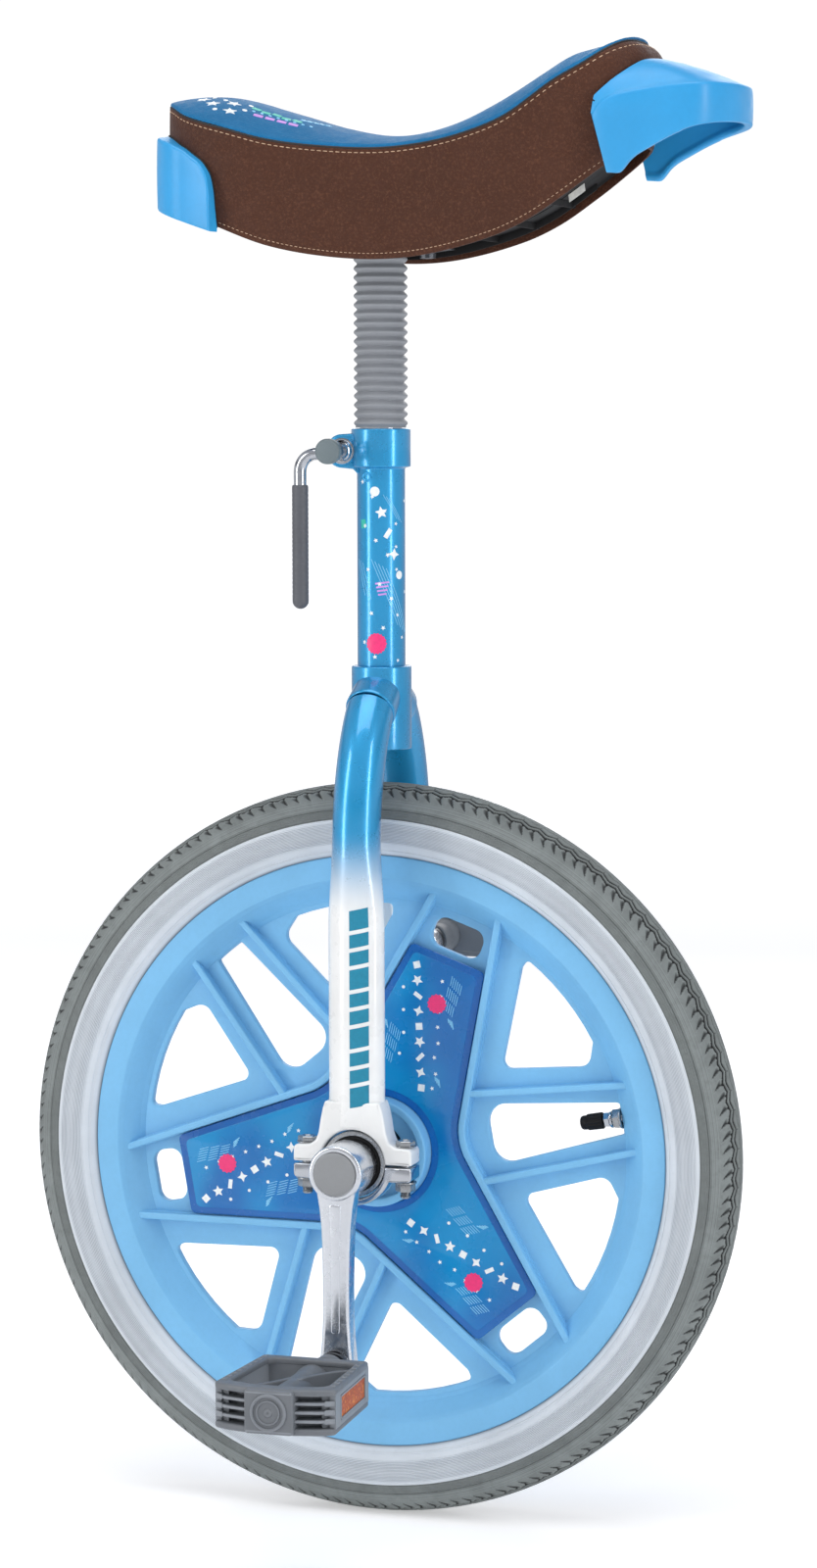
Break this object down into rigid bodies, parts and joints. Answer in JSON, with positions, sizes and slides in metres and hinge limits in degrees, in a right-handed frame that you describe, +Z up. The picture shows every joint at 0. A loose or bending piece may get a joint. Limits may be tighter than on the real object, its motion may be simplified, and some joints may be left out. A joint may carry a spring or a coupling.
{
  "type": "unicycle",
  "caption": "Small unicycle with a moulded spoked wheel, pneumatic tyre, twin-leg fork, quick-clamp seat post under a bellows, and a curved saddle with end bumpers.",
  "frame": {"origin": "point under the axle where the tyre's tread rests on the ground", "axes": "+X forward, +Y to the rider's left along the axle, +Z up along the seat tube"},
  "size_m": [0.3943, 0.3764, 0.7796],
  "materials": {
    "tyre_rubber": "grey tread, off-white ribbed sidewall",
    "tube_rubber": "matt",
    "wheel_plastic": "satin moulded",
    "cover_plastic": null,
    "frame_paint": "metallic gloss, legs fading to pearl white",
    "steel": "satin",
    "chrome_steel": "polished",
    "aluminium": "polished",
    "bellows_grey": "soft moulded",
    "pedal_grey": "moulded",
    "dark_plastic": "moulded",
    "reflector_orange": "prismatic",
    "base_plastic": "moulded",
    "foam": "soft foam",
    "brown_vinyl": "soft grain vinyl with pale stitching",
    "blue_vinyl": "soft grain vinyl",
    "bumper_plastic": "satin moulded"
  },
  "bodies": {
    "frame": {"seat_tube": "frame_paint", "fork_crown": "frame_paint", "fork_leg_right": "frame_paint", "fork_leg_left": "frame_paint", "bearing_cap_right": "chrome_steel", "bearing_cap_left": "chrome_steel", "housing_bolt_front_right": "steel", "housing_bolt_rear_right": "steel", "housing_bolt_front_left": "steel", "housing_bolt_rear_left": "steel", "housing_nut_front_right": "steel", "housing_nut_rear_right": "steel", "housing_nut_front_left": "steel", "housing_nut_rear_left": "steel", "bearing_outer_right": "steel", "bearing_outer_left": "steel", "clamp_bolt": "chrome_steel", "clamp_washer": "chrome_steel"},
    "clamp_lever": {"lever_rod": "chrome_steel", "lever_cap": "dark_plastic", "lever_grip": "dark_plastic"},
    "wheel": {"tyre": "tyre_rubber", "inner_tube": "tube_rubber", "wheel_rim": "wheel_plastic", "cover_right": "cover_plastic", "cover_left": "cover_plastic", "valve_stem": "steel", "valve_nut": "steel", "valve_cap": "dark_plastic", "hub_sleeve": "steel", "axle": "steel", "crank_right": "chrome_steel", "crank_left": "chrome_steel", "crank_bolt_right": "steel", "crank_bolt_left": "steel", "crank_cap_right": "dark_plastic", "crank_cap_left": "dark_plastic", "bearing_inner_right": "steel", "bearing_inner_left": "steel", "pedal_spindle_right": "steel", "pedal_spindle_left": "steel"},
    "pedal_right": {"pedal_body_right": "pedal_grey", "reflector_front_right": "reflector_orange", "reflector_rear_right": "reflector_orange"},
    "pedal_left": {"pedal_body_left": "pedal_grey", "reflector_front_left": "reflector_orange", "reflector_rear_left": "reflector_orange"},
    "cage_right": {"ball_cage_right": "steel"},
    "cage_left": {"ball_cage_left": "steel"},
    "bellows": {"post_bellows": "bellows_grey"},
    "seat": {"seat_post": "chrome_steel", "seat_bracket": "steel", "saddle_bolt_front": "steel", "saddle_bolt_rear": "steel", "saddle_base": "base_plastic", "saddle_foam": "foam", "saddle_side_cover": "brown_vinyl", "saddle_top_cover": "blue_vinyl", "front_bumper": "bumper_plastic", "rear_bumper": "bumper_plastic"}
  },
  "joints": [
    {"name": "wheel_spin", "type": "hinge", "parent": "frame", "child": "wheel", "pos_m": [0, 0, 0.19679], "axis": [0, 1, 0], "continuous": true},
    {"name": "pedal_right_spin", "type": "hinge", "parent": "wheel", "child": "pedal_right", "pos_m": [0, -0.15, 0.09579], "axis": [0, 1, 0], "continuous": true},
    {"name": "pedal_left_spin", "type": "hinge", "parent": "wheel", "child": "pedal_left", "pos_m": [0, 0.15, 0.29779], "axis": [0, 1, 0], "continuous": true},
    {"name": "cage_right_spin", "type": "hinge", "parent": "frame", "child": "cage_right", "pos_m": [0, -0.0456, 0.19679], "axis": [0, 1, 0], "continuous": true},
    {"name": "cage_left_spin", "type": "hinge", "parent": "frame", "child": "cage_left", "pos_m": [0, 0.0456, 0.19679], "axis": [0, 1, 0], "continuous": true},
    {"name": "clamp_lever_swing", "type": "hinge", "parent": "frame", "child": "clamp_lever", "pos_m": [-0.0184, -0.022, 0.56899], "axis": [0, 1, 0], "range_deg": [0, 90]},
    {"name": "seat_twist", "type": "hinge", "parent": "frame", "child": "bellows", "pos_m": [0, 0, 0.5812], "axis": [0, 0, 1], "continuous": true},
    {"name": "seat_height", "type": "slide", "parent": "bellows", "child": "seat", "axis": [0, 0, 1], "range_m": [-0.06, 0], "deforming": ["post_bellows"]}
  ],
  "couplings": [
    {"joint": "cage_right_spin", "follows": "wheel_spin", "ratio": 0.42},
    {"joint": "cage_left_spin", "follows": "wheel_spin", "ratio": 0.42}
  ]
}
